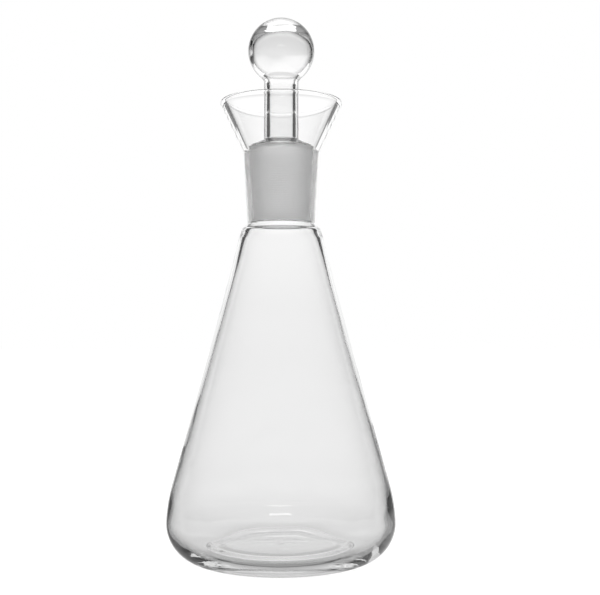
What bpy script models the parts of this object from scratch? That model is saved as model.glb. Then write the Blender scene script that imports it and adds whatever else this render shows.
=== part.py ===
"""Stoppered conical flask with a ground neck, a funnel collar and a hollow glass stopper.

Two loose pieces of glass. The flask is blown as a vessel, and a ground socket and a flared
collar are flame-sealed to it. The stopper is a ground plug, a tube stem and a hollow ball knob,
sealed together the same way. Every sealed part is its own object.

The frame has +Z up the flask's axis, and its origin on the table under the centre of the base.
Lengths in the constants are millimetres, and the meshes are in metres.
"""

import math

import bpy
from mathutils import Vector
from mathutils.geometry import interpolate_bezier

MM = 0.001
TURN_STEPS = 48
MERGE_DISTANCE = 0.01 * MM
SMOOTH_ANGLE = math.radians(30)
SEAL_GAP = 0.3

# Vessel. The SHOULDER, BEND and NECK entries are (r, z) points
BODY_RADIUS = 42.5
CORNER_RADIUS = 14.3
HEEL_RADIUS = 60.0
HEEL_START = math.radians(3)
CONE_LEAN = math.radians(15.3)
LEAN_AT_SHOULDER = math.radians(13.7)
PUNT_RISE = 1.2
PUNT_RADIUS = 25.5
FLOOR_THICKNESS = 3.6
CORNER_WALL = 1.9
SIDE_WALL = 1.15
OUTER_SHOULDER = (15.9, 119.0)
OUTER_BEND = (14.6, 123.0)
OUTER_NECK = (12.65, 124.8)
INNER_SHOULDER = (13.75, 118.9)
INNER_BEND = (12.4, 122.1)
INNER_NECK = (10.8, 124.0)
BEND_ROUND = 1.6
NECK_ROUND = 0.6
INNER_CORNER_STEPS = 7
OUTER_CORNER_STEPS = 8
HEEL_STEPS = 2

# Ground joint, standard taper: 24 mm at the large end, 1 in 10 on the diameter
JOINT_RADIUS = 12.0
TAPER = 0.05
SOCKET_TOP = 151.8
SOCKET_FOOT = 125.4
SOCKET_RADIUS = 13.9
JOINT_CLEARANCE = 0.2

# Funnel collar
RIM_BEAD = 1.25
RIM_RADIUS = 22.8
RIM_HEIGHT = 169.8
COLLAR_WALL = 1.6
RIM_TUCK = math.radians(20)
BEAD_STEPS = 8

# Stopper
PLUG_PROUD = 1.8
PLUG_FOOT = 125.5
PLUG_END = 124.3
PLUG_END_ROUND = 1.2
PLUG_WALL = 1.6
PLUG_EDGE = 0.7
PLUG_SHOULDER = 156.7
SHOULDER_ROUND = 1.0
STEM_RADIUS = 6.45
STEM_BORE = 4.6
STEM_FOOT = 158.0
STEM_TOP = 175.8
KNOB_RADIUS = 12.4
KNOB_CENTRE = 189.6
KNOB_FOOT_ANGLE = math.radians(-48)
KNOB_FOOT_ROUND = 2.5
KNOB_HOLLOW = (11.2, 9.0)
BALL_STEPS = 14
HOLLOW_STEPS = 12

CLEAR_GLASS = (0.93, 0.95, 0.95, 1.0)
GROUND_GLASS = (0.86, 0.87, 0.87, 1.0)
CLEAR_ROUGHNESS = 0.02
GROUND_ROUGHNESS = 0.45
GLASS_IOR = 1.47


def arc(centre, radius, start, end, steps):
    """Points on a circle in the (r, z) plane. Angles are in radians from +r towards +z."""
    angles = [start + (end - start) * i / steps for i in range(steps + 1)]
    return [(centre[0] + radius * math.cos(a), centre[1] + radius * math.sin(a)) for a in angles]


def rounded(before, corner, after, radius, steps=3):
    """The corner between two straight runs, as an arc that is tangent to both."""
    corner = Vector(corner)
    back = (Vector(before) - corner).normalized()
    ahead = (Vector(after) - corner).normalized()
    half_angle = back.angle(ahead) / 2
    centre = corner + (back + ahead).normalized() * (radius / math.sin(half_angle))
    start = corner + back * (radius / math.tan(half_angle)) - centre
    end = corner + ahead * (radius / math.tan(half_angle)) - centre
    start_angle = math.atan2(start.y, start.x)
    swing = math.remainder(math.atan2(end.y, end.x) - start_angle, math.tau)
    return arc(centre, radius, start_angle, start_angle + swing, steps)


def oval(centre, radii, start, end, steps):
    """Points on an ellipse in the (r, z) plane, by the same angles as arc."""
    circle = arc((0, 0), 1, start, end, steps)
    return [(centre[0] + radii[0] * r, centre[1] + radii[1] * z) for r, z in circle]


def side_curve(foot, foot_lean, top, top_lean, points=8):
    """The vessel's side, a cubic that leaves each end at that end's own lean."""
    foot = Vector(foot)
    top = Vector(top)
    reach = (top - foot).length / 3
    foot_handle = foot + Vector((-math.sin(foot_lean), math.cos(foot_lean))) * reach
    top_handle = top - Vector((-math.sin(top_lean), math.cos(top_lean))) * reach
    return [tuple(p) for p in interpolate_bezier(foot, foot_handle, top_handle, top, points)]


def vessel_corner(floor_wall, corner_wall, side_wall, steps):
    """One skin from the floor round the corner and up the heel, to where the cone begins."""
    centre = (BODY_RADIUS - CORNER_RADIUS, CORNER_RADIUS)
    points = []
    for i in range(steps + 1):
        share = i / steps
        angle = -math.pi / 2 + share * (math.pi / 2 + HEEL_START)
        reach = CORNER_RADIUS - floor_wall - share * (corner_wall - floor_wall)
        points.append((centre[0] + reach * math.cos(angle), centre[1] + reach * math.sin(angle)))
    inset = CORNER_RADIUS - HEEL_RADIUS
    heel = (centre[0] + inset * math.cos(HEEL_START), centre[1] + inset * math.sin(HEEL_START))
    for i in range(1, HEEL_STEPS + 1):
        share = i / HEEL_STEPS
        angle = HEEL_START + share * (CONE_LEAN - HEEL_START)
        reach = HEEL_RADIUS - corner_wall - share * (side_wall - corner_wall)
        points.append((heel[0] + reach * math.cos(angle), heel[1] + reach * math.sin(angle)))
    return points


def vessel_shoulder(side, bend, neck, top):
    """One skin of the vessel from the shoulder into the neck, bottom to top."""
    return rounded(side, bend, neck, BEND_ROUND) + rounded(bend, neck, top, NECK_ROUND) + [top]


def bore_radius(height):
    """Radius of the ground taper at a height."""
    return JOINT_RADIUS - TAPER * (SOCKET_TOP - height)


def flask_body():
    """The blown vessel: floor, corner, side and shoulder, open at the neck."""
    seam = SOCKET_FOOT - SEAL_GAP
    inner_corner = vessel_corner(FLOOR_THICKNESS, CORNER_WALL, SIDE_WALL, INNER_CORNER_STEPS)
    inner_side = side_curve(inner_corner[-1], CONE_LEAN, INNER_SHOULDER, CONE_LEAN)
    inner_top = vessel_shoulder(INNER_SHOULDER, INNER_BEND, INNER_NECK, (bore_radius(seam), seam))
    inner = [(0, PUNT_RISE + FLOOR_THICKNESS)] + inner_corner + inner_side[1:] + inner_top
    outer_corner = vessel_corner(0, 0, 0, OUTER_CORNER_STEPS)
    outer_side = side_curve(outer_corner[-1], CONE_LEAN, OUTER_SHOULDER, LEAN_AT_SHOULDER)
    outer_top = vessel_shoulder(OUTER_SHOULDER, OUTER_BEND, OUTER_NECK, (OUTER_NECK[0], seam))
    outer = outer_corner + outer_side[1:] + outer_top
    return inner + outer[::-1] + [(PUNT_RADIUS, 0), (0, PUNT_RISE)]


def neck_socket():
    """The ground socket: a tapered bore in a thick tube."""
    return [
        (bore_radius(SOCKET_FOOT), SOCKET_FOOT),
        (bore_radius(SOCKET_TOP), SOCKET_TOP),
        (SOCKET_RADIUS, SOCKET_TOP),
        (OUTER_NECK[0], SOCKET_FOOT),
    ]


def funnel_collar():
    """The flared collar, with a fire-polished bead round its rim."""
    foot = SOCKET_TOP + SEAL_GAP
    bead = (RIM_RADIUS - RIM_BEAD, RIM_HEIGHT)
    lean = math.atan2(bead[0] - SOCKET_RADIUS + COLLAR_WALL / 2, bead[1] - foot)
    rim = arc(bead, RIM_BEAD, math.pi - lean, -lean - RIM_TUCK, BEAD_STEPS)
    return [(SOCKET_RADIUS - COLLAR_WALL, foot)] + rim + [(SOCKET_RADIUS, foot)]


def plug_radius(height):
    """Outside radius of the plug's ground taper at a height."""
    return bore_radius(height) - JOINT_CLEARANCE


def stopper_plug():
    """The hollow ground plug: closed and rounded below, drawn in to the stem's bore above."""
    proud = SOCKET_TOP + PLUG_PROUD
    seam = STEM_FOOT - SEAL_GAP
    edge = (plug_radius(proud) - PLUG_EDGE, proud + PLUG_EDGE)
    neck = (STEM_RADIUS, PLUG_SHOULDER)
    end = (plug_radius(PLUG_FOOT), PLUG_END)
    outer = [(STEM_RADIUS, seam)]
    outer += rounded(outer[0], neck, edge, SHOULDER_ROUND)
    outer += [edge, (plug_radius(proud), proud)]
    outer += rounded((plug_radius(PLUG_FOOT), PLUG_FOOT + PLUG_WALL), end, (0, PLUG_END), PLUG_END_ROUND)
    outer += [(0, PLUG_END)]
    inner = [
        (0, PLUG_END + PLUG_WALL),
        (plug_radius(PLUG_FOOT) - PLUG_WALL, PLUG_FOOT + PLUG_WALL),
        (edge[0] - PLUG_WALL, edge[1] - PLUG_WALL),
        (STEM_BORE, neck[1] - PLUG_WALL / 2),
        (STEM_BORE, seam),
    ]
    return inner + outer


def stopper_stem():
    """The tube between plug and knob."""
    top = STEM_TOP - SEAL_GAP
    return [(STEM_BORE, STEM_FOOT), (STEM_BORE, top), (STEM_RADIUS, top), (STEM_RADIUS, STEM_FOOT)]


def stopper_knob():
    """The hollow ball knob, open below where the stem is sealed to it. Its hollow is a flat oval."""
    centre = (0, KNOB_CENTRE)
    ball = arc(centre, KNOB_RADIUS, math.pi / 2, KNOB_FOOT_ANGLE, BALL_STEPS)
    drop = (ball[-1][0] - STEM_RADIUS) / math.tan(-KNOB_FOOT_ANGLE)
    foot = rounded(ball[-1], (STEM_RADIUS, ball[-1][1] - drop), (STEM_RADIUS, STEM_TOP), KNOB_FOOT_ROUND)
    hollow_foot = -math.acos(STEM_BORE / KNOB_HOLLOW[0])
    hollow = oval(centre, KNOB_HOLLOW, hollow_foot, math.pi / 2, HOLLOW_STEPS)
    return ball + foot + [(STEM_RADIUS, STEM_TOP), (STEM_BORE, STEM_TOP)] + hollow


def glass(name, color, roughness):
    """A glass material for one part."""
    material = bpy.data.materials.new(name)
    material.use_nodes = True
    shader = material.node_tree.nodes["Principled BSDF"]
    shader.inputs["Base Color"].default_value = color
    shader.inputs["Roughness"].default_value = roughness
    shader.inputs["Metallic"].default_value = 0.0
    shader.inputs["Transmission Weight"].default_value = 1.0
    shader.inputs["IOR"].default_value = GLASS_IOR
    return material


def turned(name, outline, closed, color, roughness, collection, parent):
    """An object turned about Z from an outline of (r, z) points, with its origin at its parent's."""
    base = parent.location.z
    points = [(r * MM, 0, z * MM - base) for r, z in outline]
    edges = [(i, i + 1) for i in range(len(points) - 1)]
    if closed:
        edges.append((len(points) - 1, 0))
    profile = bpy.data.meshes.new(name)
    profile.from_pydata(points, edges, [])
    part = bpy.data.objects.new(name, profile)
    collection.objects.link(part)
    screw = part.modifiers.new("turn", "SCREW")
    screw.steps = TURN_STEPS
    screw.render_steps = TURN_STEPS
    screw.use_merge_vertices = True
    screw.merge_threshold = MERGE_DISTANCE
    bpy.context.view_layer.update()
    solid = bpy.data.meshes.new_from_object(part.evaluated_get(bpy.context.evaluated_depsgraph_get()))
    part.modifiers.clear()
    part.data = solid
    bpy.data.meshes.remove(profile)
    solid.name = name
    solid.shade_smooth()
    solid.set_sharp_from_angle(angle=SMOOTH_ANGLE)
    solid.materials.append(glass(name + "_glass", color, roughness))
    part.parent = parent
    return part


def guide(name, height, collection):
    """An empty on the axis that carries one loose piece of glass."""
    empty = bpy.data.objects.new(name, None)
    empty.location.z = height * MM
    collection.objects.link(empty)
    return empty


def build():
    """Clear the scene and make the flask and its stopper."""
    for old in list(bpy.data.objects):
        bpy.data.objects.remove(old)
    collection = bpy.data.collections.new("iodine_flask")
    bpy.context.scene.collection.children.link(collection)
    clear = (CLEAR_GLASS, CLEAR_ROUGHNESS)
    ground = (GROUND_GLASS, GROUND_ROUGHNESS)
    flask = guide("flask", 0, collection)
    turned("flask_body", flask_body(), False, *clear, collection, flask)
    turned("neck_socket", neck_socket(), True, *ground, collection, flask)
    turned("funnel_collar", funnel_collar(), True, *clear, collection, flask)
    stopper = guide("stopper", SOCKET_TOP, collection)
    turned("stopper_plug", stopper_plug(), False, *ground, collection, stopper)
    turned("stopper_stem", stopper_stem(), True, *clear, collection, stopper)
    turned("stopper_knob", stopper_knob(), False, *clear, collection, stopper)


build()
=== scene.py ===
"""Looks for the stoppered conical flask: two seamless pieces of blown glass round the CAD frame.

Lengths in the outlines are millimetres. Sizes and places come from the CAD nodes' boxes.
"""

import math

import bpy
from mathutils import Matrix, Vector, noise
from mathutils.geometry import interpolate_bezier


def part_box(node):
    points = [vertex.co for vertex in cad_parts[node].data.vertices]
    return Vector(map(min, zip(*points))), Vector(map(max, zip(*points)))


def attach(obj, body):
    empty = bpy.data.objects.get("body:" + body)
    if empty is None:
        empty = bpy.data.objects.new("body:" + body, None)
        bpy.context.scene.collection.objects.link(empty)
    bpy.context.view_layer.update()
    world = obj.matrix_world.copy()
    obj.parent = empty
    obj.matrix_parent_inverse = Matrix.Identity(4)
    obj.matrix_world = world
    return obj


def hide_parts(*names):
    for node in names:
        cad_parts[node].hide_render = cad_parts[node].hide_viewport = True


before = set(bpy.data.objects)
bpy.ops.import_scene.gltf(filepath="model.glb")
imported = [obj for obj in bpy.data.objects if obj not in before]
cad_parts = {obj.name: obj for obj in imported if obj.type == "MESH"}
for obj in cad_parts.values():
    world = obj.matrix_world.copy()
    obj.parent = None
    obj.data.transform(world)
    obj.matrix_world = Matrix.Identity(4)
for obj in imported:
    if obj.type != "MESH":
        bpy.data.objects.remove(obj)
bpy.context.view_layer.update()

MM = 0.001
TURN_SEGMENTS = 200
SHARP_ANGLE = math.radians(40)
ON_AXIS = 1e-6
CLEAR, GROUND = range(2)
TRUE_SKIN, VESSEL_SKIN, KNOB_SKIN = range(3)


def box_mm(node):
    """Lowest and highest corner of a CAD node, in millimetres."""
    low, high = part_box(node)
    return low / MM, high / MM


# ---- sizes read from the frame ----

BODY_RADIUS = box_mm("flask_body")[1].x
SOCKET_FOOT = box_mm("neck_socket")[0].z
SOCKET_TOP = box_mm("neck_socket")[1].z
SOCKET_RADIUS = box_mm("neck_socket")[1].x
RIM_RADIUS = box_mm("funnel_collar")[1].x
RIM_TOP = box_mm("funnel_collar")[1].z
PLUG_END = box_mm("stopper_plug")[0].z
STEM_RADIUS = box_mm("stopper_stem")[1].x
KNOB_RADIUS = box_mm("stopper_knob")[1].x
KNOB_TOP = box_mm("stopper_knob")[1].z

# ---- the vessel. Shoulder, bend and neck points are (r, z) ----

CORNER_RADIUS = 14.3
HEEL_RADIUS = 60.0
HEEL_START = math.radians(3)
CONE_LEAN = math.radians(15.3)
LEAN_AT_SHOULDER = math.radians(13.7)
PUNT_RADIUS = 25.5
PUNT_RISE = 1.2
PUNT_SLOPE = 5.0
PUNT_SLOPE_RISE = 0.75
PUNT_SLOPE_ROUNDING = 6
PUNT_EDGE_ROUNDING = 0.8
FLOOR_WALL = 3.6
FLOOR_DIP = 0.1
FLOOR_DIP_ROUNDING = 8
FLOOR_RIDGE = 0.2
FLOOR_RIDGE_ROUNDING = 3
CORNER_WALL = 1.9
SIDE_WALL = 1.15
OUTER_SHOULDER = (15.9, 119.0)
OUTER_BEND = (14.6, 123.0)
OUTER_NECK = (12.65, 124.8)
INNER_SHOULDER = (13.75, 118.9)
INNER_BEND = (12.4, 122.1)
INNER_NECK = (10.8, 124.0)
BEND_ROUNDING = 1.6
NECK_ROUNDING = 0.6
NECK_FLARE = 0.05

# ---- the ground joint and the funnel ----

JOINT_RADIUS = 12.0
TAPER = 0.05
RIM_BEAD = 1.25
RIM_TUCK = math.radians(20)
COLLAR_WALL = 1.6
COLLAR_FOOT_RISE = 0.5
COLLAR_FOOT_ROUNDING = 0.5
COLLAR_SEAM = 0.2
COLLAR_SEAM_ROUNDING = 1.0

# ---- the stopper ----

PLUG_CLEARANCE = 0.05
PLUG_PROUD = 1.8
PLUG_GROUND_FOOT = 125.5
PLUG_WALL = 1.6
PLUG_SHOULDER = 156.6
PLUG_BEVEL = 0.7
PLUG_BEVEL_RISE = 0.75
PLUG_ROUNDING = 1.0
PLUG_END_TAPER = 0.1
PLUG_END_ROUNDING = 0.8
STEM_BORE = 4.6
STEM_ROUNDING = 2.5
KNOB_FOOT_ANGLE = math.radians(-48)
HOLLOW_RADIUS = 11.2
HOLLOW_TOP = 8.8
HOLLOW_FOOT = 10.4
HOLLOW_FOOT_ANGLE = math.radians(-56)
HOLLOW_NECK_DROP = 3.6
HOLLOW_NECK_ROUNDING = 5.0
HOLLOW_EDGE_DROP = 0.6
HOLLOW_SHOULDER_DROP = 1.2
HOLLOW_SHOULDER_ROUNDING = 1.4
HOLLOW_END_ROUNDING = 2.2

# ---- how finely the outlines are drawn: steps round a curve, and longest stretches ----

ROUNDING_STEPS = 6
INNER_CORNER_STEPS = 32
OUTER_CORNER_STEPS = 40
SIDE_POINTS = 56
BORE_STEPS = 24
RIM_STEPS = 28
TAPER_STEPS = 26
BALL_STEPS = 60
HOLLOW_FOOT_STEPS = 30
HOLLOW_TOP_STEPS = 40
SHOULDER_STRETCH = 0.5
FLOOR_STRETCH = 0.8
STOPPER_STRETCH = 0.8
COLLAR_STRETCH = 1.0
BASE_STRETCH = 1.5

# ---- unevenness of the blown glass. Ripples are (depth, waves per millimetre) ----

EVEN_MIDDLE = 1
UNEVEN_HEIGHT = 34
UNEVEN_RADIUS = 30
THICKER_LOW = 0.30
OFF_CENTRE_LOW = 0.4
LONG_RIPPLE = (0.12, 0.05)
SHORT_RIPPLE = (0.03, 0.17)
KNOB_RIPPLE = (0.22, 0.16)


# ---- outline helpers, in the (r, z) plane ----

def line(start, end, steps):
    """Points along a straight run."""
    return [tuple(Vector(start).lerp(Vector(end), i / steps)) for i in range(steps + 1)]


def arc(centre, radius, start, end, steps):
    """Points on a circle. Angles are in radians from +r towards +z."""
    angles = [start + (end - start) * i / steps for i in range(steps + 1)]
    return [(centre[0] + radius * math.cos(a), centre[1] + radius * math.sin(a)) for a in angles]


def oval(centre, radii, start, end, steps):
    """Points on an ellipse, by the same angles as arc."""
    circle = arc((0, 0), 1, start, end, steps)
    return [(centre[0] + radii[0] * r, centre[1] + radii[1] * z) for r, z in circle]


def rounded(before, corner, after, radius):
    """The corner between two straight runs, as an arc that is tangent to both."""
    corner = Vector(corner)
    back = (Vector(before) - corner).normalized()
    ahead = (Vector(after) - corner).normalized()
    half_angle = back.angle(ahead) / 2
    centre = corner + (back + ahead).normalized() * (radius / math.sin(half_angle))
    start = corner + back * (radius / math.tan(half_angle)) - centre
    end = corner + ahead * (radius / math.tan(half_angle)) - centre
    start_angle = math.atan2(start.y, start.x)
    swing = math.remainder(math.atan2(end.y, end.x) - start_angle, math.tau)
    return arc(centre, radius, start_angle, start_angle + swing, ROUNDING_STEPS)


def resampled(points, longest):
    """The same run with no stretch longer than a limit."""
    fine = [points[0]]
    for start, end in zip(points, points[1:]):
        steps = max(1, math.ceil((Vector(end) - Vector(start)).length / longest))
        fine += line(start, end, steps)[1:]
    return fine


def chain(corners, longest):
    """A run of straight stretches with rounded corners, from (r, z, rounding) corners."""
    points = [corners[0][:2]]
    for before, corner, after in zip(corners, corners[1:], corners[2:]):
        if corner[2] > 0:
            points += rounded(before[:2], corner[:2], after[:2], corner[2])
        else:
            points.append(corner[:2])
    points.append(corners[-1][:2])
    return resampled(points, longest)


def eased(share, start, end):
    """A value that leaves its start and meets its end gently."""
    return start + share * share * (3 - 2 * share) * (end - start)


def side_curve(foot, foot_lean, top, top_lean):
    """The vessel's side, a cubic that leaves each end at that end's own lean."""
    foot = Vector(foot)
    top = Vector(top)
    reach = (top - foot).length / 3
    foot_handle = foot + Vector((-math.sin(foot_lean), math.cos(foot_lean))) * reach
    top_handle = top - Vector((-math.sin(top_lean), math.cos(top_lean))) * reach
    return [tuple(p) for p in interpolate_bezier(foot, foot_handle, top_handle, top, SIDE_POINTS)]


def bore_radius(height):
    """Radius of the ground taper at a height."""
    return JOINT_RADIUS - TAPER * (SOCKET_TOP - height)


def plug_radius(height):
    """Radius of the plug's ground taper at a height."""
    return bore_radius(height) - PLUG_CLEARANCE


# ---- the flask's outline ----

def vessel_corner(floor_wall, corner_wall, side_wall, steps):
    """One skin from the floor round the corner and up the heel, to where the cone begins."""
    centre = (BODY_RADIUS - CORNER_RADIUS, CORNER_RADIUS)
    points = []
    for i in range(steps + 1):
        share = i / steps
        angle = -math.pi / 2 + share * (math.pi / 2 + HEEL_START)
        reach = CORNER_RADIUS - eased(share, floor_wall, corner_wall)
        points.append((centre[0] + reach * math.cos(angle), centre[1] + reach * math.sin(angle)))
    inset = CORNER_RADIUS - HEEL_RADIUS
    heel = (centre[0] + inset * math.cos(HEEL_START), centre[1] + inset * math.sin(HEEL_START))
    heel_steps = steps // 2
    for i in range(1, heel_steps + 1):
        share = i / heel_steps
        angle = HEEL_START + share * (CONE_LEAN - HEEL_START)
        reach = HEEL_RADIUS - eased(share, corner_wall, side_wall)
        points.append((heel[0] + reach * math.cos(angle), heel[1] + reach * math.sin(angle)))
    return points


def vessel_shoulder(side, bend, neck, top):
    """One skin of the vessel from the shoulder into the neck, bottom to top."""
    corners = [side + (0,), bend + (BEND_ROUNDING,), neck + (NECK_ROUNDING,), top + (0,)]
    return chain(corners, SHOULDER_STRETCH)


def vessel_inside():
    """The skin inside, from the floor's centre up to the foot of the ground bore."""
    corner = vessel_corner(FLOOR_WALL, CORNER_WALL, SIDE_WALL, INNER_CORNER_STEPS)
    top_of_floor = PUNT_RISE + FLOOR_WALL
    floor = chain([
        (0, top_of_floor, 0),
        (PUNT_RADIUS - PUNT_SLOPE, top_of_floor - FLOOR_DIP, FLOOR_DIP_ROUNDING),
        (PUNT_RADIUS, top_of_floor + FLOOR_RIDGE, FLOOR_RIDGE_ROUNDING),
        corner[0] + (0,),
    ], FLOOR_STRETCH)
    side = side_curve(corner[-1], CONE_LEAN, INNER_SHOULDER, CONE_LEAN)
    bore_foot = (bore_radius(SOCKET_FOOT), SOCKET_FOOT)
    shoulder = vessel_shoulder(INNER_SHOULDER, INNER_BEND, INNER_NECK, bore_foot)
    return floor + corner[1:] + side[1:] + shoulder[1:]


def vessel_outside():
    """The skin outside, from the standing ring up to the foot of the socket."""
    corner = vessel_corner(0, 0, 0, OUTER_CORNER_STEPS)
    side = side_curve(corner[-1], CONE_LEAN, OUTER_SHOULDER, LEAN_AT_SHOULDER)
    socket_foot = (OUTER_NECK[0] + NECK_FLARE, SOCKET_FOOT)
    shoulder = vessel_shoulder(OUTER_SHOULDER, OUTER_BEND, OUTER_NECK, socket_foot)
    return corner + side[1:] + shoulder[1:]


def collar(bore_top):
    """The funnel up its inside, over the rim's bead and down its outside to the neck."""
    bead = (RIM_RADIUS - RIM_BEAD, RIM_TOP - RIM_BEAD)
    lean = math.atan2(bead[0] - SOCKET_RADIUS + COLLAR_WALL / 2, bead[1] - SOCKET_TOP)
    rim = arc(bead, RIM_BEAD, math.pi - lean, -lean - RIM_TUCK, RIM_STEPS)
    up = chain([
        bore_top + (0,),
        (SOCKET_RADIUS - COLLAR_WALL, SOCKET_TOP + COLLAR_FOOT_RISE, COLLAR_FOOT_ROUNDING),
        rim[0] + (0,),
    ], COLLAR_STRETCH)
    down = chain([
        rim[-1] + (0,),
        (SOCKET_RADIUS + COLLAR_SEAM, SOCKET_TOP, COLLAR_SEAM_ROUNDING),
        OUTER_NECK + (0,),
    ], COLLAR_STRETCH)
    return up + rim[1:] + down[1:]


def base():
    """The underside, from the standing ring in to the middle of the push-up."""
    return chain([
        (BODY_RADIUS - CORNER_RADIUS, 0, 0),
        (PUNT_RADIUS, 0, PUNT_EDGE_ROUNDING),
        (PUNT_RADIUS - PUNT_SLOPE, PUNT_SLOPE_RISE, PUNT_SLOPE_ROUNDING),
        (0, PUNT_RISE, 0),
    ], BASE_STRETCH)


def flask_runs():
    """The flask's whole outline, from the floor's centre inside to the base's centre outside."""
    bore = line((bore_radius(SOCKET_FOOT), SOCKET_FOOT), (bore_radius(SOCKET_TOP), SOCKET_TOP), BORE_STEPS)
    return [
        (vessel_inside(), CLEAR, VESSEL_SKIN),
        (bore, GROUND, TRUE_SKIN),
        (collar(bore[-1])[:-1] + vessel_outside()[::-1][1:] + base()[1:], CLEAR, TRUE_SKIN),
    ]


# ---- the stopper's outlines ----

def stopper_skin():
    """The stopper's outside, from the top of the knob to the bottom of the plug."""
    centre = (0, KNOB_TOP - KNOB_RADIUS)
    ball = arc(centre, KNOB_RADIUS, math.pi / 2, KNOB_FOOT_ANGLE, BALL_STEPS)
    drop = (ball[-1][0] - STEM_RADIUS) / math.tan(-KNOB_FOOT_ANGLE)
    proud = SOCKET_TOP + PLUG_PROUD
    top_radius = plug_radius(proud)
    foot_radius = plug_radius(PLUG_GROUND_FOOT)
    stem = chain([
        ball[-1] + (0,),
        (STEM_RADIUS, ball[-1][1] - drop, STEM_ROUNDING),
        (STEM_RADIUS, PLUG_SHOULDER, PLUG_ROUNDING),
        (top_radius - PLUG_BEVEL, proud + PLUG_BEVEL_RISE, PLUG_ROUNDING),
        (top_radius, proud, 0),
    ], STOPPER_STRETCH)
    taper = line((top_radius, proud), (foot_radius, PLUG_GROUND_FOOT), TAPER_STEPS)
    end = chain([
        (foot_radius, PLUG_GROUND_FOOT, 0),
        (foot_radius - PLUG_END_TAPER, PLUG_END + PLUG_END_TAPER, PLUG_END_ROUNDING),
        (0, PLUG_END, 0),
    ], STOPPER_STRETCH)
    return [(ball + stem[1:], CLEAR, TRUE_SKIN), (taper, GROUND, TRUE_SKIN), (end, CLEAR, TRUE_SKIN)]


def stopper_hollow():
    """The stopper's sealed hollow, from its bottom up to the top of the knob's hollow."""
    centre = (0, KNOB_TOP - KNOB_RADIUS)
    proud = SOCKET_TOP + PLUG_PROUD
    foot_height = PLUG_END + PLUG_WALL
    foot_radius = plug_radius(foot_height) - PLUG_WALL
    low = oval(centre, (HOLLOW_RADIUS, HOLLOW_FOOT), HOLLOW_FOOT_ANGLE, 0, HOLLOW_FOOT_STEPS)
    stem = chain([
        (0, foot_height, 0),
        (foot_radius, foot_height, HOLLOW_END_ROUNDING),
        (plug_radius(proud) - PLUG_WALL, proud - HOLLOW_EDGE_DROP, HOLLOW_SHOULDER_ROUNDING),
        (STEM_BORE, PLUG_SHOULDER - HOLLOW_SHOULDER_DROP, HOLLOW_SHOULDER_ROUNDING),
        (STEM_BORE, low[0][1] - HOLLOW_NECK_DROP, HOLLOW_NECK_ROUNDING),
        low[0] + (0,),
    ], STOPPER_STRETCH)
    top = oval(centre, (HOLLOW_RADIUS, HOLLOW_TOP), 0, math.pi / 2, HOLLOW_TOP_STEPS)
    return [(stem + low[1:] + top[1:], CLEAR, KNOB_SKIN)]


# ---- meshes ----

def rippled(place, ripple):
    """A smooth random height at a place, from a (depth, waves per millimetre) ripple."""
    depth, waves = ripple
    return depth * noise.noise(place * waves)


def uneven_radius(point, skin, angle):
    """Blown glass is never even: the skin inside sits a little off centre, and ripples."""
    radius, height = point
    if skin == TRUE_SKIN or radius < EVEN_MIDDLE:
        return radius
    place = Vector((radius * math.cos(angle), radius * math.sin(angle), height))
    if skin == KNOB_SKIN:
        if height < KNOB_TOP - 2 * KNOB_RADIUS:
            return radius
        return radius + rippled(place, KNOB_RIPPLE)
    reach = min(1.0, radius / UNEVEN_RADIUS)
    low = math.exp(-(height / UNEVEN_HEIGHT) ** 2)
    ripple = rippled(place, LONG_RIPPLE) + rippled(place, SHORT_RIPPLE)
    return radius - reach * (THICKER_LOW * low + OFF_CENTRE_LOW * low * math.cos(angle) + ripple)


def add_rings(verts, runs):
    """Turn one outline's points into rings, and give back (vertex numbers, material) pairs."""
    points = []
    for run, material, skin in runs:
        points += [(p, material, skin) for p in (run[1:] if points else run)]
    rings = []
    for point, material, skin in points:
        first = len(verts)
        for k in range(1 if point[0] < ON_AXIS else TURN_SEGMENTS):
            angle = math.tau * k / TURN_SEGMENTS
            radius = uneven_radius(point, skin, angle)
            verts.append((radius * math.cos(angle) * MM, radius * math.sin(angle) * MM, point[1] * MM))
        rings.append((range(first, len(verts)), material))
    return rings


def add_bands(faces, materials, rings):
    """Join each ring to the next by a band of faces. A ring on the axis is a single point."""
    for (upper, _), (lower, material) in zip(rings, rings[1:]):
        for k in range(TURN_SEGMENTS):
            n = (k + 1) % TURN_SEGMENTS
            quad = [upper[k % len(upper)], lower[k % len(lower)],
                    lower[n % len(lower)], upper[n % len(upper)]]
            faces.append([v for i, v in enumerate(quad) if v not in quad[:i]])
            materials.append(material)


def turned(name, outlines):
    """A mesh object turned about Z from outlines, each a list of (points, material, skin) runs."""
    verts = []
    faces = []
    materials = []
    for runs in outlines:
        add_bands(faces, materials, add_rings(verts, runs))
    mesh = bpy.data.meshes.new(name)
    mesh.from_pydata(verts, [], faces)
    mesh.polygons.foreach_set("material_index", materials)
    mesh.validate()
    mesh.shade_smooth()
    mesh.set_sharp_from_angle(angle=SHARP_ANGLE)
    piece = bpy.data.objects.new(name, mesh)
    bpy.context.scene.collection.objects.link(piece)
    return piece


# ---- node helpers ----

def fill_ramp(ramp, stops):
    """Give a colour ramp these grey stops, from (position, grey) pairs."""
    elements = ramp.color_ramp.elements
    elements.remove(elements[1])
    elements[0].position = stops[0][0]
    for position, _ in stops[1:]:
        elements.new(position)
    for element, (_, grey) in zip(elements, stops):
        element.color = (grey, grey, grey, 1)


def ramp_node(tree, value, stops):
    """A colour ramp over a value, from (position, grey) pairs."""
    ramp = tree.nodes.new("ShaderNodeValToRGB")
    fill_ramp(ramp, stops)
    tree.links.new(value, ramp.inputs["Fac"])
    return ramp.outputs["Color"]


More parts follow.
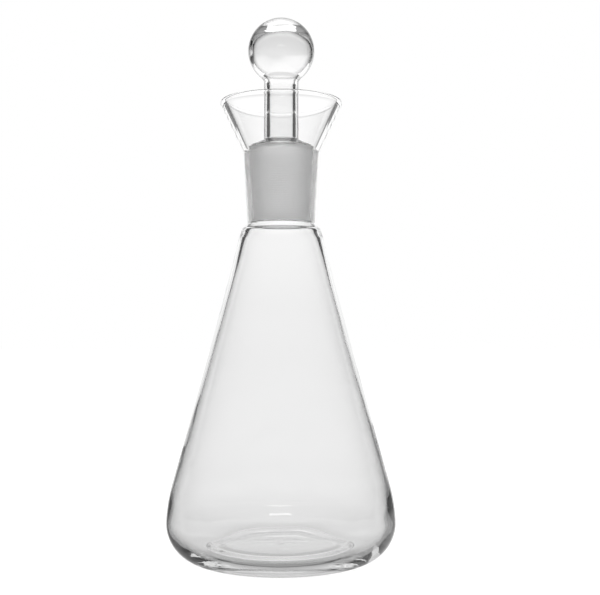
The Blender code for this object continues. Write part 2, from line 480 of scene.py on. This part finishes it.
def math_node(tree, operation, first, second=0.0, clamp=False):
    """One step of arithmetic on values that are sockets or plain numbers."""
    node = tree.nodes.new("ShaderNodeMath")
    node.operation = operation
    node.use_clamp = clamp
    for socket, value in zip(node.inputs, (first, second)):
        if isinstance(value, float):
            socket.default_value = value
        else:
            tree.links.new(value, socket)
    return node.outputs[0]


def map_node(tree, value, source, target, smooth=False):
    """A value carried from one (low, high) range into another."""
    node = tree.nodes.new("ShaderNodeMapRange")
    node.interpolation_type = "SMOOTHSTEP" if smooth else "LINEAR"
    node.inputs["From Min"].default_value, node.inputs["From Max"].default_value = source
    node.inputs["To Min"].default_value, node.inputs["To Max"].default_value = target
    tree.links.new(value, node.inputs["Value"])
    return node.outputs["Result"]


# ---- materials. Painted edge shade holds (facing, grey of the glass's tint) pairs, a painted shade that darkens the clear glass towards its outline: facing is 0 head on and 1 along the surface ----

GLASS_IOR = 1.47
VESSEL_PAINTED_EDGE_SHADE = ((0.0, 0.99), (0.6, 0.98), (1.0, 0.7))
STOPPER_PAINTED_EDGE_SHADE = ((0.0, 0.99), (0.5, 0.98), (0.8, 0.1))
NOISE_RANGE = (0.3, 0.7)
CLEAR_ROUGHNESS = (0.0, 0.012)
SMEAR_SCALE = 130
SMEAR_DETAIL = 3
WAVE_SCALE = 60
WAVE_DETAIL = 2
WAVE_DEPTH = 0.00004
GROUND_TONE = 0.9
GROUND_PASSED = 0.8
GROUND_ROUGHNESS = (0.42, 0.56)
GRAIN_SCALE = 700
GRAIN_DETAIL = 4
RING_SCALE = 500
RING_DISTORTION = 3.0
RING_DEPTH = 0.00003


def principled(name, **values):
    """A Principled material with the given socket values."""
    material = bpy.data.materials.new(name)
    material.use_nodes = True
    shader = material.node_tree.nodes["Principled BSDF"]
    for socket, value in values.items():
        shader.inputs[socket.replace("_", " ")].default_value = value
    return material, shader


def noise_height(tree, scale, detail):
    """A noise pattern over the object, as numbers from 0 to 1."""
    place = tree.nodes.new("ShaderNodeTexCoord")
    pattern = tree.nodes.new("ShaderNodeTexNoise")
    pattern.inputs["Scale"].default_value = scale
    pattern.inputs["Detail"].default_value = detail
    tree.links.new(place.outputs["Object"], pattern.inputs["Vector"])
    return pattern.outputs["Fac"]


def ring_height(tree):
    """Fine level rings, as grinding leaves them."""
    place = tree.nodes.new("ShaderNodeTexCoord")
    rings = tree.nodes.new("ShaderNodeTexWave")
    rings.bands_direction = "Z"
    rings.inputs["Scale"].default_value = RING_SCALE
    rings.inputs["Distortion"].default_value = RING_DISTORTION
    tree.links.new(place.outputs["Object"], rings.inputs["Vector"])
    return rings.outputs["Fac"]


def vary_roughness(tree, shader, pattern, roughness):
    """Let a pattern move the surface's roughness between two values."""
    tree.links.new(map_node(tree, pattern, NOISE_RANGE, roughness), shader.inputs["Roughness"])


def add_bump(tree, shader, pattern, depth):
    """Let a pattern raise the surface by up to a depth in metres."""
    bump = tree.nodes.new("ShaderNodeBump")
    bump.inputs["Distance"].default_value = depth
    tree.links.new(pattern, bump.inputs["Height"])
    tree.links.new(bump.outputs["Normal"], shader.inputs["Normal"])


def clear_glass(name, painted_edge_shade):
    """Clear borosilicate glass, a little wavy, whose tint is greyed where a ray only grazes it: painted shade
    for its dark outlines.
    """
    material, shader = principled(name, IOR=GLASS_IOR, Transmission_Weight=1.0)
    tree = material.node_tree
    # painted shade: the tint turns grey towards the glass's outline, by how far the surface faces away
    graze = tree.nodes.new("ShaderNodeLayerWeight")
    tree.links.new(ramp_node(tree, graze.outputs["Facing"], painted_edge_shade), shader.inputs["Base Color"])
    vary_roughness(tree, shader, noise_height(tree, SMEAR_SCALE, SMEAR_DETAIL), CLEAR_ROUGHNESS)
    add_bump(tree, shader, noise_height(tree, WAVE_SCALE, WAVE_DETAIL), WAVE_DEPTH)
    return material


def ground_glass():
    """The finely ground surface of the joint, which scatters the light that it passes."""
    tone = (GROUND_TONE, GROUND_TONE, GROUND_TONE, 1)
    material, shader = principled("ground_glass", Base_Color=tone, IOR=GLASS_IOR,
                                  Transmission_Weight=GROUND_PASSED)
    tree = material.node_tree
    vary_roughness(tree, shader, noise_height(tree, GRAIN_SCALE, GRAIN_DETAIL), GROUND_ROUGHNESS)
    add_bump(tree, shader, ring_height(tree), RING_DEPTH)
    return material


# ---- camera, in metres ----

CAMERA_DISTANCE = 0.412
CAMERA_HEIGHT = 0.0885
CAMERA_PITCH = math.radians(1.22)
CAMERA_YAW = math.radians(-0.977)
CAMERA_LENS = 66.18
CAMERA_SENSOR = 36
CAMERA_CLIP = (0.01, 100)

# ---- light panels, in metres. Widths are (height, half width) and tones (height, radiance) pairs, with
# heights above the light stand. Edges are the soft margins at their sides ----

LIGHT_STAND_HEIGHT = 0.0973
PANEL_BEYOND = 0.15
PANEL_APART = 0.002
LOW_PANEL_WIDTHS = ((-0.30, 0.108), (-0.093, 0.108), (-0.06, 0.100), (-0.015, 0.13), (0.01, 0.138),
                    (0.054, 0.138), (0.064, 0.102), (0.09, 0.102))
LOW_PANEL_TONES = ((-0.30, 0.0), (-0.18, 0.05), (-0.145, 0.40), (-0.126, 0.50), (-0.103, 0.62),
                   (-0.078, 0.71), (-0.03, 0.79), (0.0, 0.86), (0.03, 0.97), (0.06, 1.0), (0.09, 0.0))
LOW_PANEL_EDGE = 0.01
HIGH_PANEL_WIDTHS = ((0.06, 0.10), (0.10, 0.10), (0.112, 0.115), (0.30, 0.115))
HIGH_PANEL_TONES = ((0.06, 0.0), (0.09, 1.04), (0.10, 1.05), (0.109, 1.0), (0.117, 0.86), (0.20, 0.76),
                    (0.25, 0.40), (0.30, 0.0))
HIGH_PANEL_EDGE = 0.015
STRIP_WIDTHS = ((0.20, 0.11), (0.60, 0.11))
STRIP_TONES = ((0.20, 0.0), (0.26, 0.5), (0.45, 0.6), (0.60, 0.3))
STRIP_EDGE = 0.11
FRONT_LAMP_BEFORE = 1.51
FRONT_LAMP_WIDTHS = ((0.28, 0.32), (0.32, 0.32))
FRONT_LAMP_TONES = ((0.28, 5.0), (0.32, 5.0))
FRONT_LAMP_EDGE = 0.06
PANELS = (
    ("low_panel", PANEL_BEYOND, LOW_PANEL_WIDTHS, LOW_PANEL_TONES, LOW_PANEL_EDGE),
    ("high_panel", PANEL_BEYOND + PANEL_APART, HIGH_PANEL_WIDTHS, HIGH_PANEL_TONES, HIGH_PANEL_EDGE),
    ("top_strip", PANEL_BEYOND + 2 * PANEL_APART, STRIP_WIDTHS, STRIP_TONES, STRIP_EDGE),
    ("front_lamp", -FRONT_LAMP_BEFORE, FRONT_LAMP_WIDTHS, FRONT_LAMP_TONES, FRONT_LAMP_EDGE),
)

# ---- world and floor. Room tones are (upward share of the direction, grey) pairs ----

WHITE_SEEN = 1.0
WHITE_LIGHT = 1.8
ROOM_TONES = ((-1.0, 0.25), (-0.82, 0.3), (-0.77, 0.02), (-0.72, 0.38), (-0.6, 0.42), (-0.4, 0.44),
              (-0.3, 0.4), (-0.2, 0.34), (-0.1, 0.25), (0.0, 0.16), (0.1, 0.07), (0.3, 0.02),
              (0.6, 0.03), (0.85, 0.3), (1.0, 0.6))
STUDIO_FLOOR_REACH = 3.0
STUDIO_FLOOR_TONE = 0.12
STUDIO_FLOOR_GLOW = 0.93
STUDIO_FLOOR_ROUGHNESS = 0.9
BOUNCES = 40


def make_camera():
    """A camera near the flask, at about half its height."""
    data = bpy.data.cameras.new("camera")
    data.lens = CAMERA_LENS
    data.sensor_width = CAMERA_SENSOR
    data.clip_start, data.clip_end = CAMERA_CLIP
    camera = bpy.data.objects.new("camera", data)
    camera.location = (0, -CAMERA_DISTANCE, CAMERA_HEIGHT)
    camera.rotation_euler = (math.pi / 2 + CAMERA_PITCH, 0, CAMERA_YAW)
    bpy.context.scene.collection.objects.link(camera)
    bpy.context.scene.camera = camera
    return camera


def light_stand(camera):
    """What the light panels hang on. It stands in the flask and turns with the camera."""
    stand = bpy.data.objects.new("light_stand", None)
    stand.location = (0, 0, LIGHT_STAND_HEIGHT)
    bpy.context.scene.collection.objects.link(stand)
    turn = stand.constraints.new("COPY_ROTATION")
    turn.target = camera
    return stand


def panel_strength(tree, size, low, high, widths, tones, edge):
    """The panel's radiance over its face: its tone by height, which fades out at its sides."""
    place = tree.nodes.new("ShaderNodeNewGeometry")
    split = tree.nodes.new("ShaderNodeSeparateXYZ")
    tree.links.new(place.outputs["Parametric"], split.inputs[0])

    def by_height(pairs):
        stops = [((high - height) / (high - low), value) for height, value in reversed(pairs)]
        return ramp_node(tree, split.outputs["Y"], stops)

    off_centre = math_node(tree, "ABSOLUTE", math_node(tree, "SUBTRACT", split.outputs["X"], 0.5))
    margin = math_node(tree, "SUBTRACT", by_height(widths), math_node(tree, "MULTIPLY", off_centre, size))
    fade = map_node(tree, margin, (0, edge), (0, 1), smooth=True)
    return math_node(tree, "MULTIPLY", fade, by_height(tones))


def panel(stand, name, beyond, widths, tones, edge):
    """A white panel of light that shines at the flask.

    It stands that far beyond the flask as the camera sees it, or in front of it where that is negative.
    """
    low, high = tones[0][0], tones[-1][0]
    data = bpy.data.lights.new(name, "AREA")
    data.shape = "RECTANGLE"
    data.size = 2 * max(half for _, half in widths)
    data.size_y = high - low
    data.energy = math.pi * data.size * data.size_y
    data.use_nodes = True
    tree = data.node_tree
    strength = panel_strength(tree, data.size, low, high, widths, tones, edge)
    tree.links.new(strength, tree.nodes["Emission"].inputs["Strength"])
    light = bpy.data.objects.new(name, data)
    bpy.context.scene.collection.objects.link(light)
    light.parent = stand
    light.location = (0, (low + high) / 2, -beyond)
    light.rotation_euler = (math.pi if beyond > 0 else 0, 0, 0)
    light.visible_camera = False
    light.visible_diffuse = False


def make_world():
    """White all round for the floor and the background, and a dimmer studio for the glass to bend."""
    world = bpy.data.worlds.new("studio")
    world.use_nodes = True
    bpy.context.scene.world = world
    tree = world.node_tree
    nodes, links = tree.nodes, tree.links
    nodes.clear()
    path = nodes.new("ShaderNodeLightPath")

    white = nodes.new("ShaderNodeBackground")
    white.inputs["Color"].default_value = (1, 1, 1, 1)
    brightness = map_node(tree, path.outputs["Is Camera Ray"], (0, 1), (WHITE_LIGHT, WHITE_SEEN))
    links.new(brightness, white.inputs["Strength"])

    room = nodes.new("ShaderNodeBackground")
    place = nodes.new("ShaderNodeTexCoord")
    split = nodes.new("ShaderNodeSeparateXYZ")
    links.new(place.outputs["Generated"], split.inputs[0])
    upward = map_node(tree, split.outputs["Z"], (-1, 1), (0, 1))
    stops = [((height + 1) / 2, grey) for height, grey in ROOM_TONES]
    links.new(ramp_node(tree, upward, stops), room.inputs["Color"])

    passed, mirrored = path.outputs["Transmission Depth"], path.outputs["Glossy Depth"]
    bent = math_node(tree, "ADD", passed, mirrored, clamp=True)
    through_glass = math_node(tree, "SUBTRACT", bent, path.outputs["Diffuse Depth"], clamp=True)
    mix = nodes.new("ShaderNodeMixShader")
    out = nodes.new("ShaderNodeOutputWorld")
    links.new(through_glass, mix.inputs[0])
    links.new(white.outputs[0], mix.inputs[1])
    links.new(room.outputs[0], mix.inputs[2])
    links.new(mix.outputs[0], out.inputs["Surface"])


def make_floor():
    """A plain pale floor that glows like a light table, so the flask stands in hardly any shadow."""
    reach = STUDIO_FLOOR_REACH
    corners = [(-reach, -reach, 0), (reach, -reach, 0), (reach, reach, 0), (-reach, reach, 0)]
    mesh = bpy.data.meshes.new("floor")
    mesh.from_pydata(corners, [], [(0, 1, 2, 3)])
    floor = bpy.data.objects.new("floor", mesh)
    tone = (STUDIO_FLOOR_TONE, STUDIO_FLOOR_TONE, STUDIO_FLOOR_TONE, 1)
    material, _ = principled("floor", Base_Color=tone, Roughness=STUDIO_FLOOR_ROUGHNESS,
                             Specular_IOR_Level=0.0, Emission_Color=(1, 1, 1, 1),
                             Emission_Strength=STUDIO_FLOOR_GLOW)
    mesh.materials.append(material)
    bpy.context.scene.collection.objects.link(floor)
    floor.visible_transmission = False
    floor.visible_glossy = False


def make_glass():
    """The flask and the stopper, each in its own clear glass and the ground glass that they share."""
    # each clear glass gets its own painted edge shade, darker on the stopper
    vessel_clear = clear_glass("vessel_glass", VESSEL_PAINTED_EDGE_SHADE)
    stopper_clear = clear_glass("stopper_glass", STOPPER_PAINTED_EDGE_SHADE)
    ground = ground_glass()
    flask = turned("flask_glass", [flask_runs()])
    stopper = turned("stopper_glass", [stopper_skin(), stopper_hollow()])
    for piece, clear in ((flask, vessel_clear), (stopper, stopper_clear)):
        piece.data.materials.append(clear)
        piece.data.materials.append(ground)
    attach(flask, "flask")
    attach(stopper, "stopper")
    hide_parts("flask_body", "neck_socket", "funnel_collar")
    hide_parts("stopper_plug", "stopper_stem", "stopper_knob")


def set_light_paths():
    """Plain tones, and enough bounces for light to find its way out of the glass."""
    scene = bpy.context.scene
    scene.view_settings.view_transform = "Standard"
    scene.cycles.max_bounces = BOUNCES
    scene.cycles.transmission_bounces = BOUNCES
    scene.cycles.glossy_bounces = BOUNCES


def main():
    """Make the two pieces of glass and the studio."""
    set_light_paths()
    make_glass()
    stand = light_stand(make_camera())
    for name, beyond, widths, tones, edge in PANELS:
        panel(stand, name, beyond, widths, tones, edge)
    make_world()
    make_floor()


main()
